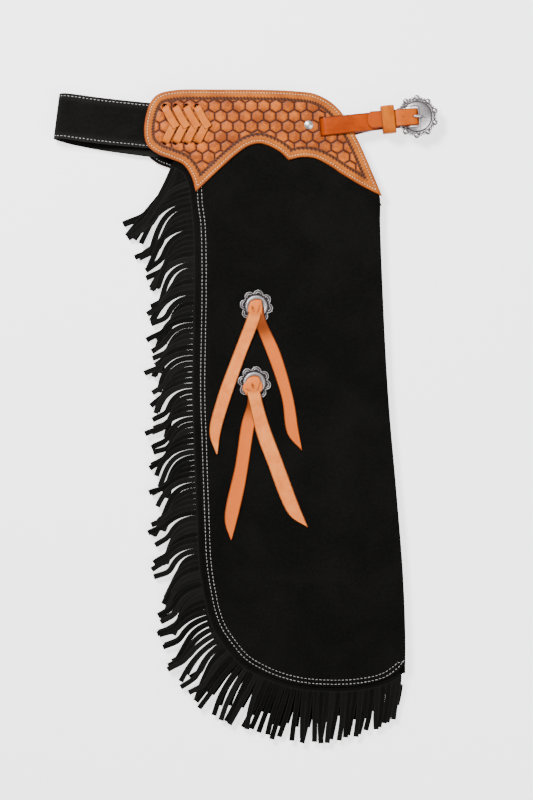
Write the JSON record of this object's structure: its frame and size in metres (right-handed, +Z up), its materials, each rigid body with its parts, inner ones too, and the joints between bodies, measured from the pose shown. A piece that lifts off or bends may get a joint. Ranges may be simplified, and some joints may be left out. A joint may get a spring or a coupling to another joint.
{
  "type": "western chaps",
  "caption": "Pair of short fringed suede chaps with tooled leather yokes, concho ties and a berry buckle, folded in half and lying flat.",
  "frame": {"origin": "on the floor under the middle of the whole pair as it lies", "axes": "+X from the folded back belt to the buckle, +Y from the hem to the waist, +Z up from the floor"},
  "size_m": [0.4394, 0.7632, 0.0261],
  "materials": {
    "black_suede": "matte suede",
    "tooled_leather": "stamped, satin",
    "bridle_leather": "glossy",
    "billet_leather": "satin",
    "latigo": "soft, satin",
    "silver": "antiqued silver"
  },
  "bodies": {
    "root": {"right_leg_panel": "black_suede", "right_fringe": "black_suede", "right_yoke": "tooled_leather", "right_lace_1": "latigo", "right_lace_2": "latigo", "right_lace_3": "latigo", "right_lace_4": "latigo", "right_spot": "silver", "right_upper_concho": "silver", "right_upper_tie": "latigo", "right_lower_concho": "silver", "right_lower_tie": "latigo", "left_leg_panel": "black_suede", "left_fringe": "black_suede", "left_yoke": "tooled_leather", "left_lace_1": "latigo", "left_lace_2": "latigo", "left_lace_3": "latigo", "left_lace_4": "latigo", "left_spot": "silver", "left_upper_concho": "silver", "left_upper_tie": "latigo", "left_lower_concho": "silver", "left_lower_tie": "latigo", "back_belt": "black_suede", "front_strap": "bridle_leather", "billet_strap": "billet_leather", "keeper": "billet_leather", "buckle": "silver", "buckle_tongue": "silver"}
  },
  "joints": []
}
